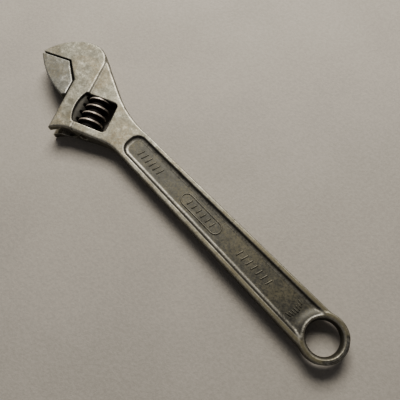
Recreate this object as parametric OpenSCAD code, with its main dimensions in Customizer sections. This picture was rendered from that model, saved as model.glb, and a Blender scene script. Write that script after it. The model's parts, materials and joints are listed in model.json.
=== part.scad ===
// Adjustable wrench, 10 in nominal, built as separate working pieces.
// Frame: origin at the centre of the hanging hole, on the middle plane.
// X runs along the handle from the ring to the head, Y points to the side
// that the mouth opens towards, Z is up through the flat faces.
// All lengths are in millimetres.

/* [Overall] */
// Length over all, ring end to the tip of the fixed jaw
overall_length = 254; // [200:1:320]
// Thickness of the head, the resting thickness of the wrench
head_thickness = 15; // [12:0.1:20]
// Angle of the jaw faces to the handle
jaw_angle = 25.3; // [15:0.1:30]
// Distance of the front-face line from the handle axis at the jaw root
head_drop = 12.6; // [6:0.1:20]

/* [Fixed jaw] */
// Straight length of the jaw face
jaw_face_length = 19.9; // [14:0.1:28]
// How far the throat slants out in front of the body face
throat_reach = 8.3; // [4:0.1:14]
// How far the throat slants down from the jaw face
throat_drop = 12.2; // [6:0.1:18]
// Radius of the outer curve of the fixed jaw
crown_radius = 34.8; // [28:0.1:50]
// Radius of the curve at the back of the head
heel_radius = 13.5; // [10:0.1:18]
// Distance of the outer curve's centre behind the front face
crown_offset = 1.24; // [0:0.02:4]
// Distance of the heel curve's centre behind the front face
heel_offset = 0.2; // [0:0.1:3]

/* [Head body] */
// Length of the front face from jaw face level to the lower corner
front_length = 47.8; // [40:0.1:60]
// Level of the flat lower edge, from the jaw face
lower_edge = 43.8; // [38:0.1:56]
// Radius of the flare at the lower front corner
flare_radius = 22; // [12:0.5:40]
// Slope of the back edge of the head to the handle
back_slope = 22.8; // [15:0.1:35]
// Radius that blends the lower edge into the handle
front_blend_radius = 26; // [15:0.5:50]
// Radius that blends the back edge into the handle
back_blend_radius = 70; // [30:1:120]
// Distance of the step between thick head and web behind the front face
step_setback = 13.6; // [11:0.1:20]
// Web thickness beside the step
web_thickness = 13.2; // [10:0.1:18]

/* [Handle] */
// Half width of the handle at the ring end
handle_half_ring = 12.3; // [9:0.1:16]
// Half width of the handle at the neck
handle_half_neck = 10.2; // [8:0.1:14]
// Thickness over the rails
handle_thickness = 8; // [6:0.1:12]
// Edge bevel of the handle
handle_bevel = 1.1; // [0.3:0.1:2]
// Width of each rail beside the recess
rail_width = 2.7; // [1.5:0.1:5]
// Depth of the recess in each face
recess_depth = 1.8; // [0.5:0.1:3]
// Distance of the recess end from the hanging hole
recess_end = 155.5; // [120:0.5:170]
// Radius of the corners at the recess end
recess_corner = 6.2; // [2:0.1:7]

/* [Ring] */
// Outer radius of the ring
ring_radius = 13.3; // [11:0.1:18]
// Thickness of the ring
ring_thickness = 8.6; // [6:0.1:12]
// Radius of the hanging hole at its narrow land
hole_radius = 9.2; // [6:0.1:12]
// Length of the narrow land
hole_land = 3; // [1:0.1:6]
// Radius of the hole at the faces
hole_mouth_radius = 10.6; // [7:0.1:14]
// Radius of the raised boss around the hole
boss_radius = 13.1; // [10:0.1:17]

/* [Worm window] */
// Window height along the worm
window_length = 20.6; // [16:0.1:30]
// Top of the window below the jaw face level
window_top = 17.7; // [14:0.1:24]
// Window edge on the handle side, behind the front face
window_back = 33.0; // [28:0.1:40]
// Window edge on the jaw side, behind the front face
window_front = 9.0; // [6:0.1:12]
// Corner radius of the window
window_corner = 2.6; // [0.5:0.1:4]
// How far the front edge of the window bows out at its middle
window_bow = 2.6; // [1:0.1:5]

/* [Sliding jaw] */
// Gap between the jaw faces at rest
rest_gap = 1.0; // [0.1:0.1:25]
// Radius of the round rail of the sliding jaw
rail_radius = 5.5; // [4:0.1:7]
// Running clearance of the rail in its bore
rail_clearance = 0.1; // [0.05:0.01:0.2]
// Distance of the rail axis behind the front face
rail_setback = 9.6; // [7:0.1:14]
// Thickness of the neck that joins rail and jaw
neck_thickness = 5.2; // [3:0.1:8]
// Clearance of the neck in the keyway, each side
neck_clearance = 0.15; // [0.05:0.01:0.5]
// Level of the top of the rail below the fixed jaw face
rail_top = 2.0; // [1:0.1:6]
// Length of the rail
rail_length = 40.5; // [30:0.1:60]
// Clearance between the jaw and the body front face
jaw_clearance = 0.2; // [0.05:0.01:0.6]
// Height of the sliding jaw at the front face
jaw_height = 24.4; // [16:0.1:32]
// Radius of the outer curve of the sliding jaw
jaw_curve_radius = 56; // [30:0.5:80]

/* [Worm] */
// Outer radius of the worm
worm_radius = 7.4; // [5:0.1:10]
// Root radius of the worm
worm_root_radius = 5.2; // [3:0.1:8]
// Lead of the single-start worm
worm_pitch = 5.08; // [3:0.01:8]
// Width of the worm thread at its crest
thread_crest = 1.1; // [0.4:0.1:3]
// Width of the worm thread at its root
thread_root = 3.0; // [1:0.1:4.5]
// Distance of the worm axis behind the front face
worm_setback = 20.1; // [16:0.1:28]
// End clearance of the worm in the window, each end
worm_end_clearance = 0.25; // [0.1:0.01:1]
// Clearance around the thread in the rack
rack_clearance = 0.2; // [0.05:0.01:0.5]
// Extra depth of the rack grooves below the thread crests
rack_root_clearance = 0.4; // [0.1:0.05:1]
// Distance of the rack tooth tips behind the front face
rack_tip_setback = 14.4; // [12:0.1:18]

/* [Pin and spring] */
// Radius of the plain part of the worm pin
pin_radius = 1.9; // [1:0.1:3]
// Radius of the screwed end of the worm pin
pin_screw_radius = 2.7; // [1.5:0.1:4]
// Running clearance of the worm on its pin
pin_clearance = 0.1; // [0.05:0.01:0.3]
// Depth of the pin in the body above the window
pin_seat = 6; // [3:0.1:10]
// Width of the driver slot in the pin
driver_slot = 0.9; // [0.4:0.1:2]
// Wire radius of the tension spring
spring_wire = 0.35; // [0.2:0.05:0.8]
// Mean radius of the tension spring
spring_radius = 2.7; // [1.5:0.1:4]
// Length of the tension spring
spring_length = 9; // [4:0.1:14]
// Turns of the tension spring
spring_turns = 6; // [3:1:10]
// Radius of the spring pocket in the worm
pocket_radius = 3.4; // [2:0.1:5]

/* [Hidden] */
$fn = 96;
eps = 0.01;
ca = cos(jaw_angle);
sa = sin(jaw_angle);
// head frame: u points out of the front face, v points the way the jaw opens
tip_u = throat_reach + jaw_face_length;
head_x = overall_length - ring_radius - tip_u * ca;
head_y = -head_drop;
function head_to_wrench(p) = [head_x + p[0] * ca - p[1] * sa,
                              head_y + p[0] * sa + p[1] * ca];
// curve centres of the fixed jaw, in the head frame
crown_rise = sqrt(pow(crown_radius, 2) - pow(tip_u + crown_offset, 2));
crown_c = [-crown_offset, crown_rise];
heel_c = [-heel_offset, crown_rise - sqrt(pow(crown_radius - heel_radius, 2)
                                          - pow(crown_offset - heel_offset, 2))];
heel_w = head_to_wrench(heel_c);
// back edge of the head: tangent to the heel curve
back_dir = [-cos(back_slope), sin(back_slope)];
back_normal = [-sin(back_slope), -cos(back_slope)];
back_start = heel_w + heel_radius * back_normal;
// handle edges: straight, tapering from ring to neck
neck_x = recess_end;
half_slope = (handle_half_neck - handle_half_ring) / neck_x;
function handle_half(x) = handle_half_ring + half_slope * x;
edge_dir = [-1, -half_slope] / norm([1, half_slope]);
// where the back edge line meets the lower handle edge
back_t = (-handle_half(back_start[0]) - back_start[1])
         / (back_dir[1] + half_slope * back_dir[0]);
back_corner = back_start + back_t * back_dir;
// where the flat lower edge meets the upper handle edge
low_start = head_to_wrench([-step_setback, lower_edge]);
low_dir = [-ca, -sa];
low_t = (handle_half(low_start[0]) - low_start[1])
        / (low_dir[1] - half_slope * low_dir[0]);
low_corner = low_start + low_t * low_dir;
// rest levels of the sliding jaw and the worm
slot_half = neck_thickness / 2 + neck_clearance;
bore_radius = rail_radius + rail_clearance;
bore_top = rail_top - 1.2;
worm_length = window_length - 2 * worm_end_clearance;
worm_start = window_top + worm_end_clearance;
window_mid = window_top + window_length / 2;
lead_angle = atan(worm_pitch / (2 * PI * (worm_radius - 0.4)));
// phase: a thread crest faces the rack at this level
mesh_level = worm_start + worm_pitch / 2 - 0.15;
pocket_depth = spring_length + 0.5;

// ---- helpers -------------------------------------------------------------

// flat plate of thickness h, centred on the middle plane
module plate(h) {
    translate([0, 0, -h / 2]) linear_extrude(h) children();
}

// places children in the head frame
module in_head() {
    translate([head_x, head_y, 0]) rotate([0, 0, jaw_angle]) children();
}

// places children with Z along the opening direction, at (u, v) and mid height
module along_slide(u, v) {
    in_head() translate([u, v, 0]) rotate([-90, 0, 0]) children();
}

// fills the corner p between two edges with a tangent curve of radius r
module corner_fill(p, d1, d2, r) {
    half = acos(d1 * d2) / 2;
    bis = (d1 + d2) / norm(d1 + d2);
    centre = p + bis * r / sin(half);
    reach = r / tan(half);
    difference() {
        polygon([p - bis * 0.2, p + d1 * reach, centre, p + d2 * reach]);
        translate(centre) circle(r);
    }
}

// ---- handle body ---------------------------------------------------------

// thick head: fixed jaw, throat and the front of the body, head frame
module head_outline() {
    flare_low = front_length - lower_edge;
    flare_back = -sqrt(pow(flare_radius, 2) - pow(flare_radius - flare_low, 2));
    intersection() {
        translate(crown_c) circle(crown_radius);
        translate([heel_c[0], -crown_radius])
            square([tip_u - heel_c[0] - 0.35, crown_radius]);
    }
    // heel curve, only behind the place where it runs into the crown curve
    intersection() {
        translate(heel_c) circle(heel_radius);
        translate(heel_c - [heel_radius + 1, heel_radius + 1])
            square([heel_radius + 1.4, 2 * heel_radius + 2]);
    }
    polygon([[heel_c[0], -eps], [throat_reach, -eps], [throat_reach, 0],
             [0, throat_drop], [0, lower_edge], [-step_setback, lower_edge],
             [-step_setback, -heel_radius / 2]]);
    // flared lower corner
    difference() {
        polygon([[0, lower_edge - eps], [0, front_length],
                 [flare_back, lower_edge + flare_low],
                 [flare_back, lower_edge - eps]]);
        translate([flare_back, lower_edge + flare_radius]) circle(flare_radius);
    }
}

// web between the handle and the head, in the wrench frame
module web_outline() {
    // the web reaches a little way into the thick head
    step_top = head_to_wrench([-step_setback + 4, 2]);
    step_low = head_to_wrench([-step_setback + 3, lower_edge - 2]);
    heel_in = heel_w + (heel_radius - 0.3) * back_normal;
    polygon([[neck_x - 12, -handle_half(neck_x - 12)], back_corner, heel_in,
             step_top, step_low, low_start, low_corner,
             [neck_x - 12, handle_half(neck_x - 12)]]);
    corner_fill(back_corner, edge_dir, -back_dir, back_blend_radius);
    corner_fill(low_corner, [edge_dir[0], -edge_dir[1]], -low_dir,
                front_blend_radius);
}

// side view of the web: thin at the handle, thicker to the head
module web_side() {
    h0 = handle_thickness / 2;
    h1 = web_thickness / 2;
    x0 = neck_x - 12;
    x1 = head_x - step_setback * ca - 2;
    steps = 8;
    top = [for (i = [0:steps]) let (t = i / steps)
           [x0 + 6 + (x1 - x0 - 6) * t, h0 + (h1 - h0) * (3 * t * t - 2 * t * t * t)]];
    far = [overall_length, h1];
    low = [for (i = [steps:-1:0]) [top[i][0], -top[i][1]]];
    polygon(concat([[x0, -h0], [x0, h0]], top, [far, [far[0], -far[1]]], low));
}

module web() {
    intersection() {
        plate(head_thickness) web_outline();
        translate([0, 60, 0]) rotate([90, 0, 0])
            linear_extrude(140) web_side();
    }
}

// plain tapered bar with bevelled long edges
module handle_bar() {
    x1 = neck_x - 11.5;
    difference() {
        plate(handle_thickness)
            polygon([[0, -handle_half(0)], [x1, -handle_half(x1)],
                     [x1, handle_half(x1)], [0, handle_half(0)]]);
        for (side = [-1, 1], face = [-1, 1])
            translate([0, side * handle_half(0), face * handle_thickness / 2])
                rotate([0, 0, side * atan(half_slope)])
                    rotate([45, 0, 0])
                        cube([2 * (x1 - 6), handle_bevel * sqrt(2),
                              handle_bevel * sqrt(2)], center = true);
    }
}

// ring with a rounded rim
module ring() {
    h = ring_thickness / 2;
    rotate_extrude()
        polygon([[0, -h], [ring_radius - 1.9, -h], [ring_radius - 0.8, -h + 0.5],
                 [ring_radius - 0.2, -h + 1.55], [ring_radius, -h + 2.6],
                 [ring_radius, h - 2.6], [ring_radius - 0.2, h - 1.55],
                 [ring_radius - 0.8, h - 0.5], [ring_radius - 1.9, h], [0, h]]);
}

// hanging hole: a narrow land between two flared mouths
module hang_hole() {
    h = ring_thickness / 2;
    rotate_extrude()
        polygon([[0, -h - 1], [hole_mouth_radius, -h - 1], [hole_mouth_radius, -h],
                 [hole_mouth_radius - 0.9, -h + 0.8],
                 [hole_radius, -hole_land / 2], [hole_radius, hole_land / 2],
                 [hole_mouth_radius - 0.9, h - 0.8],
                 [hole_mouth_radius, h], [hole_mouth_radius, h + 1], [0, h + 1]]);
}

// recess outline, from the boss to the rounded end
module recess_outline() {
    xe = recess_end - recess_corner;
    ye = handle_half(recess_end) - rail_width - 0.2;
    x0 = 2;
    difference() {
        union() {
            polygon([[x0, -handle_half(x0) + rail_width],
                     [xe, -handle_half(xe) + rail_width],
                     [xe, handle_half(xe) - rail_width],
                     [x0, handle_half(x0) - rail_width]]);
            for (side = [-1, 1])
                translate([xe, side * (ye - recess_corner)]) circle(recess_corner);
            translate([xe - 1, -ye + recess_corner])
                square([recess_corner + 1, 2 * (ye - recess_corner)]);
        }
        circle(boss_radius);
    }
}

module window_outline() {
    // a straight back edge, rounded corners and a bowed front edge
    half = window_length / 2;
    bow_radius = (half * half + window_bow * window_bow) / (2 * window_bow);
    back = -window_back;
    intersection() {
        union() {
            translate([back + window_corner, -half])
                square([window_back - window_front - window_corner, 2 * half]);
            translate([back, -half + window_corner])
                square([10, 2 * (half - window_corner)]);
            for (side = [-1, 1])
                translate([back + window_corner, side * (half - window_corner)])
                    circle(window_corner);
        }
        union() {
            translate([-window_front - bow_radius, 0]) circle(bow_radius);
            translate([back - 1, -half - 1])
                square([window_back - window_front - bow_radius + 4, 2 * half + 2]);
        }
    }
}

module pin_bores() {
    // screwed end below the window, plain seat above it
    along_slide(-worm_setback, window_top + window_length - eps)
        cylinder(r = pin_screw_radius, h = 30);
    along_slide(-worm_setback, window_top - pin_seat)
        cylinder(r = pin_radius, h = pin_seat + 1);
}

module handle_body() {
    color([0.50, 0.49, 0.46])
    difference() {
        union() {
            ring();
            handle_bar();
            web();
            in_head() plate(head_thickness) head_outline();
        }
        hang_hole();
        // recess in both faces
        for (face = [-1, 1])
            translate([0, 0, face * (handle_thickness / 2 - recess_depth + 5)])
                plate(10) recess_outline();
        // worm window
        in_head() translate([0, window_mid, 0])
            plate(head_thickness + 2) window_outline();
        // rail bore, open at the lower edge
        along_slide(-rail_setback, bore_top) cylinder(r = bore_radius, h = 80);
        // keyway from the bore through the front face
        in_head() translate([-rail_setback, bore_top, -slot_half])
            cube([rail_setback + tip_u, 80, 2 * slot_half]);
        pin_bores();
    }
}

// ---- sliding jaw ---------------------------------------------------------

// jaw head outline in the head frame, at rest
module jaw_outline() {
    g = rest_gap;
    back = jaw_clearance;
    slant = norm([throat_reach, throat_drop]);
    off = [throat_drop, throat_reach] / slant * g;
    // slanted face runs parallel to the throat, the set gap away
    k = throat_reach / throat_drop;
    corner_u = throat_reach + (g * slant - throat_reach * g) / throat_drop;
    toe_v = throat_drop + off[1] + (off[0] - back) / k;
    tail = [back, jaw_height - 1.2];
    heel = [3.0, jaw_height];
    nose = [tip_u - 0.2, g + 0.9];
    chord = nose - heel;
    span = norm(chord);
    normal = [-chord[1], chord[0]] / span;
    centre = (nose + heel) / 2
             - normal * sqrt(pow(jaw_curve_radius, 2) - span * span / 4);
    difference() {
        union() {
            polygon([[corner_u, g], [tip_u - 0.6, g], nose, heel, tail,
                     [back, toe_v]]);
            // bulge of the outer curve
            intersection() {
                translate(centre) circle(jaw_curve_radius);
                polygon([heel, nose, nose + normal * 8, heel + normal * 8]);
            }
        }
        // rounded nose
        translate([tip_u - 0.35, g - 1]) square([2, 20]);
    }
}

// straight grooves of the rack, which lean with the worm lead
module rack_grooves() {
    rise = (thread_root - thread_crest) / 2 / (worm_radius - worm_root_radius);
    crest_half = thread_crest / 2 + rack_clearance;
    bottom = worm_radius + rack_root_clearance;
    bottom_half = crest_half - rise * (rack_root_clearance - rack_clearance);
    mouth = worm_setback - rack_tip_setback - 1;
    mouth_half = crest_half + rise * (worm_radius + rack_clearance - mouth);
    first = ceil((rail_top - mesh_level - worm_pitch) / worm_pitch);
    last = floor((rail_top + rail_length - mesh_level + worm_pitch) / worm_pitch);
    for (i = [first:last])
        in_head() translate([-worm_setback, mesh_level + i * worm_pitch, 0])
            rotate([lead_angle, 0, 0]) plate(2 * rail_radius + 2)
                polygon([[mouth, -mouth_half], [bottom, -bottom_half],
                         [bottom, bottom_half], [mouth, mouth_half]]);
}

module sliding_jaw() {
    color([0.53, 0.52, 0.50])
    difference() {
        union() {
            in_head() plate(head_thickness) jaw_outline();
            // neck through the keyway
            in_head() translate([-rail_setback, rail_top, -neck_thickness / 2])
                cube([rail_setback + 3, jaw_height - rail_top - 2.4, neck_thickness]);
            neck_tie();
            along_slide(-rail_setback, rail_top)
                cylinder(r = rail_radius, h = rail_length);
        }
        // flat of the rack tips
        in_head() translate([-rack_tip_setback - 10, rail_top - 1, -rail_radius - 1])
            cube([10, rail_length + 2, 2 * rail_radius + 2]);
        rack_grooves();
    }
}

// thin tie that carries the neck up to the slanted face
module neck_tie() {
    k = throat_reach / throat_drop;
    top_u = throat_reach - k * rail_top;
    in_head() plate(neck_thickness)
        polygon([[-1, rail_top], [top_u + 1.5, rail_top],
                 [4, jaw_height - 4], [-1, jaw_height - 4]]);
}

// ---- adjusting worm ------------------------------------------------------

// single-start thread swept along the worm; ring i sits at height z(i)
module thread_sweep(r_in, r_out, crest, root, pitch, z0, z1, phase) {
    per = 36;
    n = ceil((z1 - z0) / pitch * per);
    zs = [for (i = [0:n]) z0 + (z1 - z0) * i / n];
    pts = [for (i = [0:n]) let (a = phase + 360 * zs[i] / pitch)
           for (q = [[r_in, -root / 2], [r_out, -crest / 2],
                     [r_out, crest / 2], [r_in, root / 2]])
               [q[0] * cos(a), q[0] * sin(a), zs[i] + q[1]]];
    faces = concat([[3, 2, 1, 0]],
        [for (i = [0:n - 1]) for (j = [0:3]) let (k = (j + 1) % 4)
             [4 * i + j, 4 * i + k, 4 * i + 4 + k, 4 * i + 4 + j]],
        [[4 * n, 4 * n + 1, 4 * n + 2, 4 * n + 3]]);
    polyhedron(points = pts, faces = faces, convexity = 8);
}

module adjusting_worm() {
    // local Z is the opening direction; local X points out to the rack
    half = worm_length / 2;
    crest_here = mesh_level - (worm_start + half);
    color([0.20, 0.17, 0.15])
    along_slide(-worm_setback, worm_start + half)
    difference() {
        union() {
            translate([0, 0, -half]) cylinder(r = worm_root_radius, h = worm_length);
            intersection() {
                translate([0, 0, -half])
                    cylinder(r = worm_radius + 1, h = worm_length);
                thread_sweep(worm_root_radius - 0.4, worm_radius, thread_crest,
                             thread_root + 0.3, worm_pitch,
                             -half - worm_pitch, half + worm_pitch,
                             -360 * crest_here / worm_pitch);
            }
        }
        translate([0, 0, -half - 1])
            cylinder(r = pin_radius + pin_clearance, h = worm_length + 2);
        translate([0, 0, half - pocket_depth])
            cylinder(r = pocket_radius, h = pocket_depth + 1);
    }
}

// ---- worm pin ------------------------------------------------------------

module worm_pin() {
    screw_len = lower_edge - window_top - window_length - 0.4;
    total = pin_seat + window_length;
    color([0.38, 0.37, 0.36])
    along_slide(-worm_setback, window_top - pin_seat)
    difference() {
        union() {
            cylinder(r = pin_radius, h = total + eps);
            translate([0, 0, total])
                cylinder(r = pin_screw_radius, h = screw_len);
        }
        translate([0, 0, total + screw_len])
            cube([4 * pin_screw_radius, driver_slot, 2.4], center = true);
    }
}

// ---- tension spring ------------------------------------------------------

module tension_spring() {
    per = 20;
    sides = 8;
    n = spring_turns * per;
    z0 = worm_start + worm_length - spring_length + worm_end_clearance + spring_wire;
    run = spring_length - 2 * spring_wire;
    pts = [for (i = [0:n]) let (a = 360 * i / per)
           for (j = [0:sides - 1]) let (b = 360 * j / sides)
               [(spring_radius + spring_wire * cos(b)) * cos(a),
                (spring_radius + spring_wire * cos(b)) * sin(a),
                run * i / n + spring_wire * sin(b)]];
    faces = concat([[for (j = [0:sides - 1]) j]],
        [for (i = [0:n - 1]) for (j = [0:sides - 1]) let (k = (j + 1) % sides)
             [sides * i + k, sides * i + j, sides * i + sides + j,
              sides * i + sides + k]],
        [[for (j = [sides - 1:-1:0]) sides * n + j]]);
    color([0.55, 0.52, 0.48])
    along_slide(-worm_setback, z0)
        polyhedron(points = pts, faces = faces, convexity = 10);
}

handle_body();
sliding_jaw();
adjusting_worm();
worm_pin();
tension_spring();
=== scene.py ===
"""A forged adjustable wrench lying in a plain studio.

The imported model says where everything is. This script gives the pieces their rounded,
worn shapes and their steel finishes. Lengths are in millimetres until a mesh is made.
"""

import json
import logging
import math
from dataclasses import dataclass, field
from enum import Enum
from typing import Callable

import bpy
import numpy as np
from mathutils import Matrix, Vector


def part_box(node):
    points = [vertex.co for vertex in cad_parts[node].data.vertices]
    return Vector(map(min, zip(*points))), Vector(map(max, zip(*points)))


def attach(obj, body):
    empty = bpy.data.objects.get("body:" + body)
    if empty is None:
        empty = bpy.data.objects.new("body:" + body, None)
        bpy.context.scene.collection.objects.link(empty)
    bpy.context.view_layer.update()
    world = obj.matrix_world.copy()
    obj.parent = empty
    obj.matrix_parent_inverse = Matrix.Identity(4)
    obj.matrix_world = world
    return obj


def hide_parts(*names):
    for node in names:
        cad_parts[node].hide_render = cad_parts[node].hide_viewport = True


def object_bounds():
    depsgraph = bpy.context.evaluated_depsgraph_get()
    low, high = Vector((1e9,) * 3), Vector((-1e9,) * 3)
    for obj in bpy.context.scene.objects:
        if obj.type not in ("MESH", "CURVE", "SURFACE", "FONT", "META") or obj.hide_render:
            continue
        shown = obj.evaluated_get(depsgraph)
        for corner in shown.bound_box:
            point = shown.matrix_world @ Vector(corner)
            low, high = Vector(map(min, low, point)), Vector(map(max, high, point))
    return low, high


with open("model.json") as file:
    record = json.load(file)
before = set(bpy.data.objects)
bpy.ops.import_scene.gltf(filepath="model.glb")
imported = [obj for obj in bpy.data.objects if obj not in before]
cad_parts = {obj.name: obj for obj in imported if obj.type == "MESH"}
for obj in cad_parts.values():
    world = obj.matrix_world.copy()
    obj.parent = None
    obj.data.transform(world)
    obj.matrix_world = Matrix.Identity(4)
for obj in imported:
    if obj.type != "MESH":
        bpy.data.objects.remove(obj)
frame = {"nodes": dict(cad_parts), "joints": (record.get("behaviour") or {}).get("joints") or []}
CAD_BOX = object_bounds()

LOG = logging.getLogger("wrench")
MM = 0.001

Point = tuple[float, float]
Span = tuple[float, float]
Colour = tuple[float, float, float]
Distance = Callable[[np.ndarray, np.ndarray, np.ndarray], np.ndarray]


class Coat(Enum):
    """What a mesh tells its finish at each corner, from 0 to 1."""

    EDGE = "edge"
    # Crease and hollow carry dirt and painted shade; floor carries the sunk colour and painted shade.
    CREASE = "crease"
    HOLLOW = "hollow"
    FLOOR = "floor"
    OLD = "old"


Coats = dict[Coat, np.ndarray]


# ---- distances ------------------------------------------------------------


def overlap(a: np.ndarray, b: np.ndarray, k: float | np.ndarray) -> np.ndarray:
    """What two shapes share, with the edge between them rounded.

    Args:
        a: Distance to the first shape, negative inside it.
        b: Distance to the second shape.
        k: Width of the rounding, about 1.2 times its radius.

    Returns:
        Distance to the shared shape.
    """
    h = np.maximum(k - np.abs(a - b), 0.0) / k
    return np.maximum(a, b) + h * h * k * 0.25


def merge(a: np.ndarray, b: np.ndarray, k: float | np.ndarray) -> np.ndarray:
    """Both shapes together, with the corner between them filled; see overlap."""
    return -overlap(-a, -b, k)


def carve(body: np.ndarray, tool: np.ndarray, k: float | np.ndarray) -> np.ndarray:
    """The body without the tool, with the new edge rounded; see overlap."""
    return overlap(body, -tool, k)


def ease(value: np.ndarray, low: float, high: float) -> np.ndarray:
    """A smooth step.

    Args:
        value: What the step follows.
        low: Where the step leaves 0.
        high: Where it reaches 1. It may be below low.

    Returns:
        Values from 0 to 1.
    """
    t = np.clip((value - low) / (high - low), 0.0, 1.0)
    return t * t * (3.0 - 2.0 * t)


def arc(centre: Point, radius: float, start: float, end: float, steps: int) -> list[Point]:
    """Points along an arc.

    Args:
        centre: Centre of the arc.
        radius: Its radius.
        start: First angle in degrees.
        end: Last angle in degrees.
        steps: Number of straight pieces.

    Returns:
        The points, both ends included.
    """
    turns = np.radians(np.linspace(start, end, steps + 1))
    return [(centre[0] + radius * math.cos(a), centre[1] + radius * math.sin(a)) for a in turns]


def blend(before: Point, corner: Point, after: Point, radius: float, steps: int) -> list[Point]:
    """An arc that rounds off a corner.

    Args:
        before: A point on the line that comes in.
        corner: The corner.
        after: A point on the line that goes out.
        radius: Radius of the arc.
        steps: Number of straight pieces.

    Returns:
        The points of the arc.
    """
    middle = Vector(corner)
    arm_in = (Vector(before) - middle).normalized()
    arm_out = (Vector(after) - middle).normalized()
    half = math.acos(max(-1.0, min(1.0, arm_in.dot(arm_out)))) / 2.0
    centre = middle + (arm_in + arm_out).normalized() * (radius / math.sin(half))
    reach = radius / math.tan(half)
    first = middle + arm_in * reach - centre
    last = middle + arm_out * reach - centre
    start = math.degrees(math.atan2(first.y, first.x))
    sweep = (math.degrees(math.atan2(last.y, last.x)) - start + 180.0) % 360.0 - 180.0
    return arc((centre.x, centre.y), radius, start, start + sweep, steps)


@dataclass(frozen=True)
class Outline:
    """A closed flat outline of straight runs.

    Attributes:
        points: Its corners in order.
    """

    points: list[Point]

    def distance(self, x: np.ndarray, y: np.ndarray) -> np.ndarray:
        """Distance from places to the outline.

        Args:
            x: First coordinate of the places.
            y: Second coordinate.

        Returns:
            Distances, negative inside the outline.
        """
        shape = np.broadcast_shapes(x.shape, y.shape)
        nearest = np.full(shape, np.inf)
        inside = np.zeros(shape, bool)
        for (ax, ay), (bx, by) in zip(self.points, self.points[1:] + self.points[:1]):
            ex, ey = bx - ax, by - ay
            run = ex * ex + ey * ey
            if run < 1e-12:
                continue
            wx, wy = x - ax, y - ay
            t = np.clip((wx * ex + wy * ey) / run, 0.0, 1.0)
            nearest = np.minimum(nearest, (wx - ex * t) ** 2 + (wy - ey * t) ** 2)
            if ey != 0.0:
                inside ^= ((ay <= y) != (by <= y)) & (wx < ex * wy / ey)
        far = np.sqrt(nearest)
        return np.where(inside, -far, far)


@dataclass(frozen=True)
class HeadFrame:
    """Places in the head: u points out of its front face, v the way the jaw opens.

    Attributes:
        x: Where the front face meets the jaw face, along the handle.
        y: The same, across the handle.
        angle: Angle of the jaw faces in radians.
    """

    x: float
    y: float
    angle: float

    def inward(self, x: np.ndarray, y: np.ndarray) -> tuple[np.ndarray, np.ndarray]:
        """Gives u and v for places x and y in the wrench frame."""
        c, s = math.cos(self.angle), math.sin(self.angle)
        return (x - self.x) * c + (y - self.y) * s, (y - self.y) * c - (x - self.x) * s

    def outward(self, u: np.ndarray, v: np.ndarray) -> tuple[np.ndarray, np.ndarray]:
        """Gives x and y in the wrench frame for places u and v."""
        c, s = math.cos(self.angle), math.sin(self.angle)
        return self.x + u * c - v * s, self.y + u * s + v * c

    def place(self, u: float, v: float) -> Point:
        """Gives one point of the wrench frame as a plain pair."""
        x, y = self.outward(u, v)
        return float(x), float(y)


@dataclass(frozen=True)
class Sizes:
    """The driving sizes that the pieces share, as in the design."""

    face_length: float = 19.9
    throat_reach: float = 8.3
    throat_drop: float = 12.2
    worm_setback: float = 20.1
    window_top: float = 17.7
    window_length: float = 20.6
    window_back: float = 33.0
    window_front: float = 9.0
    rail_setback: float = 9.6
    rail_radius: float = 5.5
    rail_clearance: float = 0.1
    rail_top: float = 2.0
    bore_lead: float = 1.2
    rail_length: float = 40.5
    neck_thickness: float = 5.2
    neck_clearance: float = 0.15
    worm_radius: float = 7.4
    root_radius: float = 5.2
    pitch: float = 5.08
    crest: float = 1.1
    root: float = 3.3
    worm_gap: float = 0.25
    mesh_shift: float = 0.15
    pin_radius: float = 1.9

    @property
    def tip(self) -> float:
        """How far the jaw tips stand out of the front face."""
        return self.throat_reach + self.face_length

    @property
    def worm_start(self) -> float:
        """Level of the worm's upper end."""
        return self.window_top + self.worm_gap

    @property
    def worm_length(self) -> float:
        """Length of the worm."""
        return self.window_length - 2.0 * self.worm_gap

    @property
    def mesh_level(self) -> float:
        """Level at which a thread crest faces the rack at rest."""
        return self.worm_start + self.pitch / 2.0 - self.mesh_shift


def head_frame(sizes: Sizes) -> HeadFrame:
    """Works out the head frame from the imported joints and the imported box.

    Args:
        sizes: The shared sizes.

    Returns:
        The head frame.
    """
    joints = {j["name"]: j for j in frame["joints"]}
    axis = joints["jaw_slide"]["axis"]
    angle = math.atan2(-axis[0], axis[1])
    c, s = math.cos(angle), math.sin(angle)
    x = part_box("handle_body")[1].x / MM - sizes.tip * c
    worm_x, worm_y = (value / MM for value in joints["worm_spin"]["pos_m"][:2])
    y = (worm_x * c + worm_y * s + sizes.worm_setback - x * c) / s
    return HeadFrame(x, y, angle)


# ---- meshing --------------------------------------------------------------

CORNERS = [(i, j, k) for i in (0, 1) for j in (0, 1) for k in (0, 1)]
EDGES = [(a, b) for a in range(8) for b in range(a + 1, 8)
         if sum(abs(p - q) for p, q in zip(CORNERS[a], CORNERS[b])) == 1]


def graded(stops: list[tuple[float, float]], end: float) -> np.ndarray:
    """Grid lines whose spacing changes along the way.

    Args:
        stops: Start of each stretch and the spacing in it.
        end: Where the last stretch ends.

    Returns:
        The places of the lines.
    """
    starts = [start for start, _ in stops] + [end]
    lines = [np.array([starts[0]])]
    for (start, step), stop in zip(stops, starts[1:]):
        count = max(1, round((stop - start) / step))
        lines.append(np.linspace(start, stop, count + 1)[1:])
    return np.concatenate(lines)


def slope(distance: Distance, at: np.ndarray, reach: float = 0.02) -> np.ndarray:
    """Direction in which a distance grows fastest.

    Args:
        distance: The distance function.
        at: Places, one per row.
        reach: Half the length over which the change is measured.

    Returns:
        One vector per place.
    """
    out = np.empty_like(at)
    for axis in range(3):
        ahead, behind = at.copy(), at.copy()
        ahead[:, axis] += reach
        behind[:, axis] -= reach
        out[:, axis] = (distance(*ahead.T) - distance(*behind.T)) / (2.0 * reach)
    return out


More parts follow.
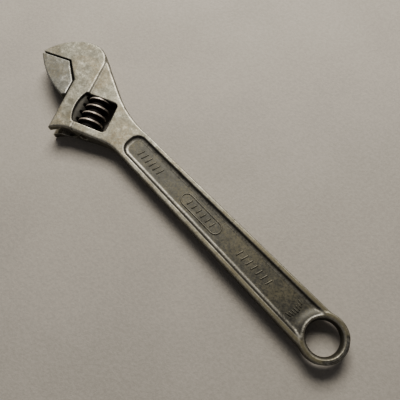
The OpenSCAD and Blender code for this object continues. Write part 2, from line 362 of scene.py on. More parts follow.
@dataclass(frozen=True)
class Skin:
    """A surface found at the zero level of a distance.

    Attributes:
        points: Its corners, one per row.
        faces: Four corner numbers per row.
        normals: The outward direction at each corner.
    """

    points: np.ndarray
    faces: np.ndarray
    normals: np.ndarray


@dataclass(frozen=True)
class Net:
    """A grid that finds the zero level of a distance, one corner per cell.

    Attributes:
        lines: The grid lines along the three axes.
    """

    lines: tuple[np.ndarray, np.ndarray, np.ndarray]

    def skin(self, distance: Distance) -> Skin:
        """Meshes the zero level.

        Args:
            distance: The distance function, negative inside the solid.

        Returns:
            The closed surface.
        """
        xs, ys, zs = self.lines
        values = distance(xs[:, None, None], ys[None, :, None], zs[None, None, :])
        inside = values < 0.0
        held = sum(inside[i:len(xs) - 1 + i, j:len(ys) - 1 + j, k:len(zs) - 1 + k].astype(np.uint8)
                   for i, j, k in CORNERS)
        active = (held > 0) & (held < 8)
        number = np.full(active.shape, -1, np.int64)
        number[active] = np.arange(active.sum())
        points = self._centres(values, np.argwhere(active))
        faces = self._faces(inside, number)
        for _ in range(3):
            gradient = slope(distance, points)
            size = np.maximum((gradient ** 2).sum(1), 1e-3)
            step = np.clip(distance(*points.T) / size, -0.3, 0.3)
            points = points - gradient * step[:, None]
        normals = slope(distance, points, 0.05)
        normals /= np.linalg.norm(normals, axis=1, keepdims=True) + 1e-9
        return Skin(points, faces, normals)

    def _centres(self, values: np.ndarray, cells: np.ndarray) -> np.ndarray:
        """Middle of the places where the surface crosses each cell's edges.

        Args:
            values: Distances on the grid.
            cells: Cell numbers along the three axes, one cell per row.

        Returns:
            One point per cell.
        """
        at = [cells + np.array(corner) for corner in CORNERS]
        level = [values[tuple(a.T)] for a in at]
        place = [np.stack([line[a[:, n]] for n, line in enumerate(self.lines)], 1) for a in at]
        total = np.zeros((len(cells), 3))
        count = np.zeros(len(cells))
        for a, b in EDGES:
            crossed = (level[a] < 0.0) != (level[b] < 0.0)
            gap = np.where(crossed, level[a] - level[b], 1.0)
            t = np.where(crossed, level[a] / gap, 0.0)[:, None]
            total += (place[a] + (place[b] - place[a]) * t) * crossed[:, None]
            count += crossed
        return total / count[:, None]

    @staticmethod
    def _faces(inside: np.ndarray, number: np.ndarray) -> np.ndarray:
        """One face round each grid edge that the surface crosses.

        Args:
            inside: Which grid points lie in the solid.
            number: Corner number of each cell, or -1.

        Returns:
            Four corner numbers per row, turning outward.
        """
        rows = []
        for axis in range(3):
            p, q = (axis + 1) % 3, (axis + 2) % 3
            low = [slice(1, -1)] * 3
            high = [slice(1, -1)] * 3
            low[axis], high[axis] = slice(None, -1), slice(1, None)
            here, ahead = inside[tuple(low)], inside[tuple(high)]
            at = np.argwhere(here != ahead)
            outward = here[tuple(at.T)]
            at[:, p] += 1
            at[:, q] += 1
            ring = []
            for dp, dq in ((1, 1), (0, 1), (0, 0), (1, 0)):
                cell = at.copy()
                cell[:, p] -= dp
                cell[:, q] -= dq
                ring.append(number[tuple(cell.T)])
            face = np.stack(ring, 1)
            face[~outward] = face[~outward][:, ::-1]
            rows.append(face)
        return np.concatenate(rows)


EDGE_REACH = 1.3
CHIP_REACH = 0.5
CREASE_REACH = 0.9
HOLLOW_REACH = 3.2


def wear(distance: Distance, skin: Skin) -> Coats:
    """Reads where a surface would be rubbed, where dirt would stay, and how closed in it is, which is
    painted darker as dirt and painted shade.

    Args:
        distance: The distance function.
        skin: The surface.

    Returns:
        The coats edge, crease and hollow.
    """
    def dip(reach: float) -> np.ndarray:
        """How much closer the surface comes than reach, seen from that far away."""
        return (abs(reach) - np.abs(distance(*(skin.points + skin.normals * reach).T))) / abs(reach)

    lean = np.abs(skin.normals[:, 2])
    rim = ease(lean, 0.20, 0.50) * ease(lean, 0.996, 0.960) * ease(dip(-EDGE_REACH), 0.01, 0.05)
    # Edge is rubbed wear and crease is dirt; hollow, how closed in a place is, darkens it as dirt and
    # painted shade.
    return {
        Coat.EDGE: np.maximum(rim, 0.6 * ease(dip(-CHIP_REACH), 0.10, 0.45)),
        Coat.CREASE: ease(dip(CREASE_REACH), 0.05, 0.60),
        Coat.HOLLOW: ease(dip(HOLLOW_REACH), 0.08, 0.85),
    }


def build(name: str, points: np.ndarray, faces: list | np.ndarray,
          coats: Coats | None = None,
          normals: np.ndarray | None = None) -> bpy.types.Object:
    """Makes a mesh object in metres.

    Args:
        name: Name of the piece.
        points: Corners in millimetres in the wrench frame.
        faces: Corner numbers of each face.
        coats: Values per corner for the finish.
        normals: Outward directions for the shading, or None to work them out.

    Returns:
        The new object, linked to the scene.
    """
    mesh = bpy.data.meshes.new(name)
    rows = faces.tolist() if isinstance(faces, np.ndarray) else faces
    mesh.from_pydata((np.asarray(points) * MM).tolist(), [], rows)
    mesh.polygons.foreach_set("use_smooth", np.ones(len(mesh.polygons), bool))
    for coat, values in (coats or {}).items():
        layer = mesh.attributes.new(coat.value, "FLOAT", "POINT")
        layer.data.foreach_set("value", values.astype(np.float32))
    if normals is not None:
        mesh.normals_split_custom_set_from_vertices(normals.tolist())
    mesh.update()
    piece = bpy.data.objects.new(name, mesh)
    bpy.context.scene.collection.objects.link(piece)
    return piece


# ---- finishes -------------------------------------------------------------

RANGE = ("From Min", "From Max", "To Min", "To Max")


class Bench:
    """Short ways to lay out the shader nodes of one material."""

    def __init__(self, name: str) -> None:
        """Starts an empty material.

        Args:
            name: Name of the material.
        """
        self.material = bpy.data.materials.new(name)
        self.material.use_nodes = True
        self.tree = self.material.node_tree
        self.tree.nodes.clear()
        self.shader = self.node("ShaderNodeBsdfPrincipled")
        output = self.node("ShaderNodeOutputMaterial")
        self.tree.links.new(self.shader.outputs[0], output.inputs[0])
        self.coordinates = self.node("ShaderNodeTexCoord").outputs["Object"]

    def node(self, kind: str, **settings: object) -> bpy.types.Node:
        """Adds a node.

        Args:
            kind: Type name of the node.
            **settings: Its properties.

        Returns:
            The node.
        """
        made = self.tree.nodes.new(kind)
        for key, value in settings.items():
            setattr(made, key, value)
        return made

    def feed(self, socket: bpy.types.NodeSocket, value: object) -> None:
        """Links a socket to an output, or sets its value.

        Args:
            socket: The input.
            value: An output, a colour or a number.
        """
        if isinstance(value, bpy.types.NodeSocket):
            self.tree.links.new(value, socket)
        elif isinstance(value, tuple) and len(value) == 3 and socket.type == "RGBA":
            socket.default_value = (*value, 1.0)
        else:
            socket.default_value = value

    def coat(self, coat: Coat) -> bpy.types.NodeSocket:
        """Reads a coat of the mesh."""
        return self.node("ShaderNodeAttribute", attribute_name=coat.value).outputs["Fac"]

    def cloud(self, size: float, detail: float = 4.0, rough: float = 0.55,
              stretch: tuple[float, float, float] | None = None, turn: float = 0.0,
              twist: float = 0.0) -> bpy.types.NodeSocket:
        """Noise of a given size.

        Args:
            size: Size of the largest marks in millimetres.
            detail: Number of finer layers.
            rough: How strong the finer layers are.
            stretch: Factors along the three axes, above 1 for longer marks.
            turn: Turn of the stretched axes about Z in radians.
            twist: How much the marks are distorted.

        Returns:
            A value around 0.5.
        """
        noise = self.node("ShaderNodeTexNoise")
        where = self.coordinates
        if stretch is not None:
            mapping = self.node("ShaderNodeMapping", vector_type="TEXTURE")
            mapping.inputs["Rotation"].default_value = (0.0, 0.0, turn)
            mapping.inputs["Scale"].default_value = stretch
            self.feed(mapping.inputs["Vector"], where)
            where = mapping.outputs[0]
        self.feed(noise.inputs["Vector"], where)
        noise.inputs["Scale"].default_value = 1.0 / (size * MM)
        noise.inputs["Detail"].default_value = detail
        noise.inputs["Roughness"].default_value = rough
        noise.inputs["Distortion"].default_value = twist
        return noise.outputs["Fac"]

    def pits(self, size: float, rim: float) -> bpy.types.NodeSocket:
        """Small round pits: 1 at the middle of each pit and 0 past its rim.

        Args:
            size: Distance between pits in millimetres.
            rim: Radius of a pit as a share of that distance.

        Returns:
            A value from 0 to 1.
        """
        cells = self.node("ShaderNodeTexVoronoi")
        self.feed(cells.inputs["Vector"], self.coordinates)
        cells.inputs["Scale"].default_value = 1.0 / (size * MM)
        return self.step(cells.outputs["Distance"], rim, 0.0)

    def math(self, kind: str, a: object, b: object = 0.0) -> bpy.types.NodeSocket:
        """One sum of two values, kept between 0 and 1.

        Args:
            kind: Name of the operation.
            a: First value or output.
            b: Second value or output.

        Returns:
            The result.
        """
        made = self.node("ShaderNodeMath", operation=kind, use_clamp=True)
        self.feed(made.inputs[0], a)
        self.feed(made.inputs[1], b)
        return made.outputs[0]

    def step(self, value: object, low: float, high: float, to_low: float = 0.0,
             to_high: float = 1.0) -> bpy.types.NodeSocket:
        """A smooth step from to_low to to_high as value goes from low to high.

        Args:
            value: What the step follows.
            low: Where the step starts.
            high: Where it ends.
            to_low: Result at the start.
            to_high: Result at the end.

        Returns:
            The result.
        """
        made = self.node("ShaderNodeMapRange", interpolation_type="SMOOTHSTEP")
        self.feed(made.inputs["Value"], value)
        for key, number in zip(RANGE, (low, high, to_low, to_high)):
            made.inputs[key].default_value = number
        return made.outputs["Result"]

    def paint(self, share: object, under: object, over: object) -> bpy.types.NodeSocket:
        """Lays one colour over another.

        Args:
            share: How much the upper colour covers, from 0 to 1.
            under: The lower colour.
            over: The upper colour.

        Returns:
            The colour.
        """
        made = self.node("ShaderNodeMix", data_type="RGBA")
        self.feed(made.inputs[0], share)
        self.feed(made.inputs[6], under)
        self.feed(made.inputs[7], over)
        return made.outputs[2]

    def mix(self, share: object, under: object, over: object) -> bpy.types.NodeSocket:
        """Mixes two numbers.

        Args:
            share: Share of the second number, from 0 to 1.
            under: The first number.
            over: The second number.

        Returns:
            The mixed number.
        """
        made = self.node("ShaderNodeMix", data_type="FLOAT")
        self.feed(made.inputs[0], share)
        self.feed(made.inputs[2], under)
        self.feed(made.inputs[3], over)
        return made.outputs[0]

    def bump(self, height: object, depth: float, under: object | None = None,
             strength: float = 1.0) -> bpy.types.NodeSocket:
        """Raises the surface in the shading.

        Args:
            height: Height from 0 to 1.
            depth: Height of 1 in millimetres.
            under: Another bump that this one lies on.
            strength: How strong it shows.

        Returns:
            The new normal.
        """
        made = self.node("ShaderNodeBump")
        made.inputs["Strength"].default_value = strength
        made.inputs["Distance"].default_value = depth * MM
        self.feed(made.inputs["Height"], height)
        if under is not None:
            self.feed(made.inputs["Normal"], under)
        return made.outputs[0]


@dataclass(frozen=True)
class Clouds:
    """The noises and coats that a steel is painted from.

    Attributes:
        wide: Large soft clouds.
        patch: Patches of skin.
        speck: Specks.
        grain: The finest grain.
        marks: Grinding marks.
        pits: Rust pits.
        coats: Values that the mesh carries.
    """

    wide: bpy.types.NodeSocket
    patch: bpy.types.NodeSocket
    speck: bpy.types.NodeSocket
    grain: bpy.types.NodeSocket
    marks: bpy.types.NodeSocket
    pits: bpy.types.NodeSocket
    coats: dict[Coat, bpy.types.NodeSocket]


@dataclass(frozen=True)
class Steel:
    """Worn steel with a skin of old oxide and oil.

    Attributes:
        name: Name of the material.
        bright: Colour of the rubbed metal.
        skin: Colour of the oxide skin.
        shade: Colour of the darker patches of skin.
        stain: Colour of the warm stains.
        aged: Colour of the thick old patina.
        well_and_side_shade: Colour of the sunk and inner faces, and the painted shade on faces that
            stand on edge.
        dirt_and_shade: Colour of the dirt in corners and of the painted shade in hollows, grooves and
            shaded walls.
        rubbed: How much of the flat surface is rubbed, from 0 to 1.
        grind: Length of the grinding marks against their width.
        lay: Direction of the grinding marks in radians.
        gloss: Roughness of the skin.
        polish: Roughness of the rubbed metal.
        metal: How metallic the skin is.
        texture: Height of the forged grain in millimetres.
    """

    name: str
    bright: Colour
    skin: Colour
    shade: Colour
    stain: Colour
    aged: Colour
    well_and_side_shade: Colour
    dirt_and_shade: Colour
    rubbed: float = 0.4
    grind: float = 8.0
    lay: float = 0.0
    gloss: float = 0.52
    polish: float = 0.34
    metal: float = 0.75
    texture: float = 0.05

    def material(self) -> bpy.types.Material:
        """Builds the material.

        Returns:
            The material, which reads every coat from the mesh.
        """
        bench = Bench(self.name)
        clouds = self._clouds(bench)
        bare = self._bare(bench, clouds)
        grime_and_shade = self._grime_and_shade(bench, clouds)
        colour = bench.paint(bare, self._skin(bench, clouds), self.bright)
        # Dirt and painted shade are laid over the metal here, following the grime mask.
        bench.feed(bench.shader.inputs["Base Color"], bench.paint(grime_and_shade, colour, self.dirt_and_shade))
        metal = bench.mix(bare, self.metal, 1.0)
        bench.feed(bench.shader.inputs["Metallic"], bench.mix(grime_and_shade, metal, 0.25))
        rough = bench.mix(bare, bench.step(clouds.speck, 0.3, 0.7, self.gloss - 0.06, self.gloss + 0.10),
                          bench.step(clouds.marks, 0.3, 0.7, self.polish - 0.05, self.polish + 0.09))
        bench.feed(bench.shader.inputs["Roughness"], bench.mix(grime_and_shade, rough, 0.78))
        bench.feed(bench.shader.inputs["Normal"], self._relief(bench, clouds))
        return bench.material

    def _clouds(self, bench: Bench) -> Clouds:
        """Lays out the noises and reads the coats.

        Args:
            bench: The material's bench.

        Returns:
            The noises and the coats.
        """
        patch = bench.cloud(4.5, 6.0, 0.72, twist=0.25)
        return Clouds(
            wide=bench.cloud(19.0, 4.0, 0.6, twist=0.6),
            patch=patch,
            speck=bench.cloud(1.3, 5.0, 0.75),
            grain=bench.cloud(0.55, 3.0, 0.6),
            marks=bench.cloud(0.5, 3.0, 0.6, stretch=(self.grind, 1.0, 1.0), turn=self.lay),
            pits=bench.math("MULTIPLY", bench.pits(1.7, 0.30), bench.step(patch, 0.50, 0.66)),
            coats={coat: bench.coat(coat) for coat in Coat},
        )

    def _bare(self, bench: Bench, clouds: Clouds) -> bpy.types.NodeSocket:
        """How bare the metal is: ragged along the edges and in spots on the flats.

        Args:
            bench: The material's bench.
            clouds: Its noises and coats.

        Returns:
            A share from 0 to 1.
        """
        coats = clouds.coats
        low = 0.62 - 0.3 * self.rubbed
        spots = bench.step(bench.mix(0.45, clouds.patch, clouds.speck), low, low + 0.18)
        covered = bench.math("MAXIMUM", coats[Coat.FLOOR], coats[Coat.OLD])
        flat = bench.math("MULTIPLY", bench.math("MULTIPLY", spots, 0.55),
                          bench.step(covered, 0.0, 1.0, 1.0, 0.12))
        torn = bench.step(bench.mix(0.5, clouds.patch, clouds.speck), 0.32, 0.60, 0.10, 0.85)
        bare = bench.math("MAXIMUM", bench.math("MULTIPLY", coats[Coat.EDGE], torn), flat)
        return bench.math("MULTIPLY", bare, bench.step(coats[Coat.CREASE], 0.1, 0.6, 1.0, 0.1))

    def _grime_and_shade(self, bench: Bench, clouds: Clouds) -> bpy.types.NodeSocket:
        """How much dirt and painted shade lie in creases, hollows and pits.

        Args:
            bench: The material's bench.
            clouds: Its noises and coats.

        Returns:
            A share from 0 to 1.
        """
        coats = clouds.coats
        held = bench.math("MULTIPLY", coats[Coat.HOLLOW], bench.step(clouds.speck, 0.3, 0.6, 0.35, 0.75))
        grime_and_shade = bench.math("MAXIMUM", bench.math("MULTIPLY", coats[Coat.CREASE], 0.9), held)
        return bench.math("MAXIMUM", grime_and_shade, bench.math("MULTIPLY", clouds.pits, 0.6))

    def _skin(self, bench: Bench, clouds: Clouds) -> bpy.types.NodeSocket:
        """Colour of the oxide skin on open faces and on sunk faces, whose colour is also painted shade
        on faces that stand on edge.

        Args:
            bench: The material's bench.
            clouds: Its noises and coats.

        Returns:
            The colour.
        """
        coats = clouds.coats
        blot = bench.step(bench.mix(0.35, clouds.patch, clouds.speck), 0.38, 0.60)
        colour = bench.paint(blot, self.shade, self.skin)
        warm = bench.math("MULTIPLY", bench.step(clouds.wide, 0.42, 0.62),
                          bench.step(clouds.speck, 0.36, 0.62))
        colour = bench.paint(bench.math("MULTIPLY", warm, 0.75), colour, self.stain)
        colour = bench.paint(bench.step(clouds.grain, 0.42, 0.66, 0.0, 0.5), colour, self.shade)
        thick = bench.step(clouds.patch, 0.3, 0.6, 0.65, 1.0)
        colour = bench.paint(bench.math("MULTIPLY", coats[Coat.OLD], thick), colour, self.aged)
        # The sunk colour is the recess's own darker skin, and painted shade on faces on edge and on the
        # jaw's rail.
        dim = tuple(channel * 0.55 for channel in self.well_and_side_shade)
        stir = bench.step(bench.mix(0.5, clouds.patch, clouds.speck), 0.32, 0.66)
        sunk = bench.paint(stir, dim, self.well_and_side_shade)
        sunk = bench.paint(bench.step(bench.mix(0.6, clouds.wide, clouds.speck), 0.44, 0.64, 0.0, 0.55),
                           sunk, self.aged)
        return bench.paint(bench.math("MULTIPLY", coats[Coat.FLOOR], 0.94), colour, sunk)

    def _relief(self, bench: Bench, clouds: Clouds) -> bpy.types.NodeSocket:
        """The forged, grained, ground and pitted surface.

        Args:
            bench: The material's bench.
            clouds: Its noises and coats.

        Returns:
            The normal.
        """
        normal = bench.bump(clouds.patch, self.texture * 2.4, strength=0.55)
        normal = bench.bump(bench.mix(0.5, clouds.speck, clouds.grain), self.texture, normal, 0.7)
        normal = bench.bump(clouds.marks, self.texture * 0.35, normal, 0.5)
        return bench.bump(bench.math("SUBTRACT", 1.0, clouds.pits), self.texture * 2.0, normal, 0.6)


BODY_STEEL = Steel(
    name="worn_forged_steel",
    bright=(0.66, 0.635, 0.55),
    skin=(0.345, 0.335, 0.272),
    shade=(0.150, 0.142, 0.110),
    stain=(0.25, 0.205, 0.130),
    aged=(0.195, 0.175, 0.112),
    well_and_side_shade=(0.098, 0.096, 0.084),
    dirt_and_shade=(0.014, 0.010, 0.006),
    rubbed=0.34,
    lay=0.35,
)
JAW_STEEL = Steel(
    name="worn_jaw_steel",
    bright=(0.60, 0.595, 0.545),
    skin=(0.25, 0.25, 0.222),
    shade=(0.125, 0.124, 0.108),
    stain=(0.20, 0.175, 0.118),
    aged=(0.15, 0.135, 0.10),
    well_and_side_shade=(0.078, 0.075, 0.064),
    dirt_and_shade=(0.014, 0.010, 0.006),
    rubbed=0.36,
    lay=1.2,
)
WORM_STEEL = Steel(
    name="blackened_worm_steel",
    bright=(0.80, 0.72, 0.62),
    skin=(0.050, 0.032, 0.020),
    shade=(0.022, 0.014, 0.009),
    stain=(0.075, 0.040, 0.020),
    aged=(0.04, 0.03, 0.02),
    well_and_side_shade=(0.02, 0.015, 0.01),
    dirt_and_shade=(0.008, 0.005, 0.004),
    rubbed=0.0,
    gloss=0.55,
    polish=0.50,
    metal=0.35,
    texture=0.03,
)
PIN_STEEL = Steel(
    name="dull_pin_steel",
    bright=(0.45, 0.43, 0.39),
    skin=(0.16, 0.14, 0.12),
    shade=(0.08, 0.07, 0.055),
    stain=(0.14, 0.09, 0.05),
    aged=(0.10, 0.08, 0.05),
    well_and_side_shade=(0.05, 0.04, 0.03),
    dirt_and_shade=(0.02, 0.015, 0.01),
    rubbed=0.3,
    texture=0.02,
)
SPRING_STEEL = Steel(
    name="oiled_spring_wire",
    bright=(0.55, 0.52, 0.46),
    skin=(0.22, 0.19, 0.15),
    shade=(0.10, 0.08, 0.06),
    stain=(0.20, 0.13, 0.07),
    aged=(0.12, 0.10, 0.07),
    well_and_side_shade=(0.06, 0.05, 0.04),
    dirt_and_shade=(0.02, 0.015, 0.01),
    rubbed=0.5,
    texture=0.01,
)


@dataclass(frozen=True)
class StudioFloor:
    """Plain pale matte floor.

    Attributes:
        tone: Its colour.
        matte: Its roughness.
    """

    tone: Colour = (0.50, 0.465, 0.405)
    matte: float = 0.85

    def material(self) -> bpy.types.Material:
        """Builds the material.

        Returns:
            A matte material with a faint soft grain.
        """
        bench = Bench("pale_floor")
        cloth = bench.cloud(1.6, 3.0, 0.65)
        wide = bench.cloud(60.0, 3.0, 0.5)
        soft = tuple(channel * 0.84 for channel in self.tone)
        share = bench.mix(0.35, bench.step(cloth, 0.3, 0.7), bench.step(wide, 0.35, 0.65))
        bench.feed(bench.shader.inputs["Base Color"], bench.paint(share, soft, self.tone))
        bench.shader.inputs["Roughness"].default_value = self.matte
        bench.feed(bench.shader.inputs["Normal"], bench.bump(cloth, 0.35, strength=0.6))
        return bench.material


def dress(piece: bpy.types.Object, steel: Steel) -> None:
    """Gives a piece one finish in all its slots.

    Args:
        piece: The object.
        steel: The finish.
    """
    made = bpy.data.materials.get(steel.name) or steel.material()
    if not piece.data.materials:
        piece.data.materials.append(made)
    for slot in piece.material_slots:
        slot.material = made


# ---- handle body ----------------------------------------------------------


@dataclass
class HandleBody:
    """The forged body: ring, I-section handle, web, fixed jaw and worm window."""

    sizes: Sizes
    head: HeadFrame
    crown_radius: float = 34.8
    crown_offset: float = 1.24
    heel_radius: float = 13.5
    heel_offset: float = 0.2
    front_length: float = 47.8
    lower_edge: float = 43.8
    flare_radius: float = 22.0
    back_slope: float = 22.8
    front_blend: float = 26.0
    back_blend: float = 70.0
    step_setback: float = 13.6
    web_half: float = 6.6
    lip_rise: float = 0.8
    half_ring: float = 12.3
    half_neck: float = 10.2
    handle_half: float = 4.0
    rail_width: float = 2.7
    recess_depth: float = 1.8
    recess_end: float = 155.5
    recess_corner: float = 6.2
    recess_fillet: float = 2.3
    draft: float = 0.45
    foot_width: float = 2.8
    web_ramp: float = 6.0
    fade_level: Span = (27.0, 37.0)
    fade_place: Span = (-32.0, -15.0)
    bevel_place: Span = (-24.0, -32.0)
    ring_half: float = 4.3
    hole_radius: float = 9.2
    mouth_radius: float = 10.6
    boss_radius: float = 13.1
    boss_step: float = 1.4
    boss_slope: float = 1.3
    boss_fillet: float = 2.2
    bow: float = 2.6
    window_corner: float = 2.6
    window_tuck: float = 1.3
    window_bevel: float = 1.0
    pin_screw_radius: float = 2.7
    pin_seat: float = 6.0
    pin_clearance: float = 0.03
    nose_blunt: float = 0.35
    strap_soft: float = 1.0
    web_soft: float = 0.8
    head_soft: float = 0.6
    heel_soft: float = 1.1
    ring_soft: float = 1.1
    ring_join: float = 0.6
    head_join: float = 0.75
    recess_lip: float = 0.55
    hole_lip: float = 0.9
    window_lip: float = 0.7
    slot_lip: float = 0.3
    ring_radius: float = field(init=False)
    head_half: float = field(init=False)
    outlines: dict[str, Outline] = field(init=False)

    def __post_init__(self) -> None:
        """Works out the outlines."""
        self.ring_radius = -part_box("handle_body")[0].x / MM
        self.head_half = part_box("handle_body")[1].z / MM
        self.outlines = {"head": self._head(), "strap": self._strap(), "window": self._window()}

    def half_width(self, x: np.ndarray | float) -> np.ndarray | float:
        """Half width of the handle at a distance from the ring."""
        return self.half_ring + (self.half_neck - self.half_ring) * x / self.recess_end

    def _crown(self) -> Point:
        """Centre of the outer curve of the fixed jaw, in the head frame."""
        return (-self.crown_offset,
                math.sqrt(self.crown_radius ** 2 - (self.sizes.tip + self.crown_offset) ** 2))

    def _heel(self) -> Point:
        """Finds the curve at the back of the head.

        Returns:
            Its centre in the head frame.
        """
        rise = math.sqrt((self.crown_radius - self.heel_radius) ** 2
                         - (self.crown_offset - self.heel_offset) ** 2)
        return (-self.heel_offset, self._crown()[1] - rise)

    def _head(self) -> Outline:
        """Outline of the thick head in the head frame.

        Returns:
            Fixed jaw, heel, flared lower corner and front face.
        """
        s = self.sizes
        crown, heel = self._crown(), self._heel()
        nose = s.tip - self.nose_blunt
        tip_turn = -math.degrees(math.acos((nose + self.crown_offset) / self.crown_radius))
        turn = math.degrees(math.atan2(heel[1] - crown[1], heel[0] - crown[0]))
        setback = self.step_setback - self.heel_offset
        back_turn = math.degrees(math.acos(setback / self.heel_radius)) - 180.0
        rise = self.front_length - self.lower_edge
        flare = -math.sqrt(self.flare_radius ** 2 - (self.flare_radius - rise) ** 2)
        flare_turn = -math.degrees(math.acos(-flare / self.flare_radius))
        return Outline([
            (s.throat_reach, 0.0), (nose, 0.0),
            *arc(crown, self.crown_radius, tip_turn, turn, 24),
            *arc(heel, self.heel_radius, turn, back_turn, 20),
            (-self.step_setback, self.lower_edge),
            *arc((flare, self.lower_edge + self.flare_radius), self.flare_radius, -90.0, flare_turn, 8),
            (0.0, s.throat_drop),
        ])

    def _strap(self) -> Outline:
        """Outline of the handle and the web in one piece, in the wrench frame.

        Returns:
            The outline, which runs a little way into the head.
        """
        slant = math.radians(self.back_slope)
        heel = self.head.place(*self._heel())
        back = (heel[0] - self.heel_radius * math.sin(slant),
                heel[1] - self.heel_radius * math.cos(slant))
        gain = (self.half_neck - self.half_ring) / self.recess_end
        run = (-self.half_width(back[0]) - back[1]) / (math.sin(slant) - gain * math.cos(slant))
        back_corner = (back[0] - run * math.cos(slant), back[1] + run * math.sin(slant))
        low = self.head.place(-self.step_setback, self.lower_edge)
        c, s = math.cos(self.head.angle), math.sin(self.head.angle)
        run = (self.half_width(low[0]) - low[1]) / (-s + gain * c)
        low_corner = (low[0] - run * c, low[1] - run * s)
        start = float(self.half_width(0.0))
        return Outline([
            (0.0, -start),
            *blend((0.0, -start), back_corner, back, self.back_blend, 16),
            back,
            self.head.place(4.0 - self.step_setback, 2.0),
            self.head.place(3.0 - self.step_setback, self.lower_edge - 2.0),
            low,
            *blend(low, low_corner, (0.0, start), self.front_blend, 14),
            (0.0, start),
        ])

    def _window(self) -> Outline:
        """Outline of the worm window in the head frame.

        Returns:
            A straight back edge, rounded corners and a bowed front edge.
        """
        s = self.sizes
        half = s.window_length / 2.0
        middle = s.window_top + half
        radius = (half * half + self.bow * self.bow) / (2.0 * self.bow)
        centre = (-s.window_front - radius, middle)
        turn = math.degrees(math.asin(half / radius))
        bowed = arc(centre, radius, -turn, turn, 14)
        back, top, low = -s.window_back, s.window_top, s.window_top + s.window_length
        return Outline([
            *blend((back, low), (back, top), (0.0, top), self.window_corner, 6),
            *blend((back, top), bowed[0], bowed[2], self.window_tuck, 4),
            *bowed[2:-2],
            *blend(bowed[-3], bowed[-1], (back, low), self.window_tuck, 4),
            *blend((0.0, low), (back, low), (back, top), self.window_corner, 6),
        ])

    def thickness(self, x: np.ndarray) -> np.ndarray:
        """Half thickness of the handle and the web along the wrench.

        Args:
            x: Places along the wrench.

        Returns:
            The half thickness, which grows from the handle to the web.
        """
        start = self.recess_end - self.web_ramp
        end = self.head.x - self.step_setback * math.cos(self.head.angle) - 2.0
        return self.handle_half + (self.web_half - self.handle_half) * ease(x, start, end)

    def fade(self, u: np.ndarray, v: np.ndarray) -> np.ndarray:
        """How far the step beside the head has run out, below the window."""
        return ease(v, *self.fade_level) * ease(u, *self.fade_place)

    def recess(self, x: np.ndarray, y: np.ndarray, up: np.ndarray) -> np.ndarray:
        """Distance to the hollow in each face of the handle.

        Args:
            x: Place along the handle.
            y: Place across it.
            up: Distance from the middle plane.

        Returns:
            Distances, negative inside the hollow.
        """
        lean = self.draft * (self.handle_half - up)
        side = np.abs(y) - (self.half_width(x) - self.rail_width) + self.recess_corner
        end = x - self.recess_end + self.recess_corner
        plan = (np.hypot(np.maximum(side, 0.0), np.maximum(end, 0.0))
                + np.minimum(np.maximum(side, end), 0.0) - self.recess_corner)
        floor = self.handle_half - self.recess_depth - up
        hollow = overlap(plan + lean, floor, self.recess_fillet)
        reach = self.boss_radius - self.boss_step + self.boss_slope * (self.handle_half - up)
        return overlap(hollow, (reach - np.hypot(x, y)) * 0.75, self.boss_fillet)

    def slots(self, u: np.ndarray, v: np.ndarray, z: np.ndarray) -> np.ndarray:
        """Distance to the rail bore, the keyway and the bores of the pin.

        Args:
            u: Place out of the front face.
            v: Place along the jaw's travel.
            z: Height.

        Returns:
            Distances, negative inside the bores.
        """
        s = self.sizes
        top = s.rail_top - s.bore_lead
        bore = np.hypot(u + s.rail_setback, z) - s.rail_radius - s.rail_clearance
        key = np.maximum(np.abs(z) - s.neck_thickness / 2.0 - s.neck_clearance, -s.rail_setback - u)
        slide = np.maximum(np.minimum(bore, key), top - v)
        pin = np.hypot(u + s.worm_setback, z)
        low = s.window_top + s.window_length
        screw = np.maximum(pin - self.pin_screw_radius - self.pin_clearance, low - 1.0 - v)
        seat = np.maximum(pin - s.pin_radius - self.pin_clearance,
                          np.maximum(s.window_top - self.pin_seat - v, v - low + 3.0))
        return np.minimum(slide, np.minimum(screw, seat))

    def distance(self, x: np.ndarray, y: np.ndarray, z: np.ndarray) -> np.ndarray:
        """Distance to the whole body.

        Args:
            x: Places along the handle.
            y: Places across it.
            z: Heights.

        Returns:
            Distances, negative inside the steel.
        """
        up = np.abs(z)
        u, v = self.head.inward(x, y)
        rho = np.hypot(x, y)
        lip = self.lip_rise * self.fade(u, v)
        soft = self.strap_soft + self.web_soft * ease(x, self.recess_end - 8.0, self.recess_end + 12.0)
        strap = overlap(self.outlines["strap"].distance(x, y), up - self.thickness(x) - lip, soft)
        ring = overlap(rho - self.ring_radius, up - self.ring_half, self.ring_soft)
        soft = self.head_soft + self.heel_soft * ease(u, 8.0, -6.0)
        head = overlap(self.outlines["head"].distance(u, v), up - self.head_half, soft)
        body = merge(merge(strap, ring, self.ring_join), head, self.head_join)
        body = carve(body, self.recess(x, y, up), self.recess_lip)
        mouth = (self.mouth_radius - self.hole_radius) * ease(up, 1.0, self.ring_half + 0.6)
        body = carve(body, rho - self.hole_radius - mouth, self.hole_lip)
        window = self.outlines["window"].distance(u, v)
        bevel = np.maximum(up - self.web_half + self.window_bevel, 0.0) * ease(u, *self.bevel_place)
        body = carve(body, window - bevel, self.window_lip)
        return carve(body, self.slots(u, v, z), self.slot_lip)

    def _coats(self, skin: Skin) -> Coats:
        """Reads the wear, then adds the recess, painted shade on its walls, along their feet, in the
        ring's bore and on the side faces, and the old patina.

        Args:
            skin: The surface.

        Returns:
            All the coats.
        """
        coats = wear(self.distance, skin)
        x, y = skin.points[:, 0], skin.points[:, 1]
        lean = np.abs(skin.normals[:, 2])
        ahead = skin.points + skin.normals * 0.6
        deep = ease(self.recess(ahead[:, 0], ahead[:, 1], np.abs(ahead[:, 2])), 0.0, -0.35)
        # Dirt and painted shade on the recess walls; painted shadow in a band of floor along the foot of
        # each wall.
        wall_dirt_and_shade = 0.75 * deep * ease(lean, 0.97, 0.65)
        foot = self.half_width(x) - self.rail_width - np.abs(y)
        band = 0.35 * deep * ease(foot, self.foot_width, 0.4)
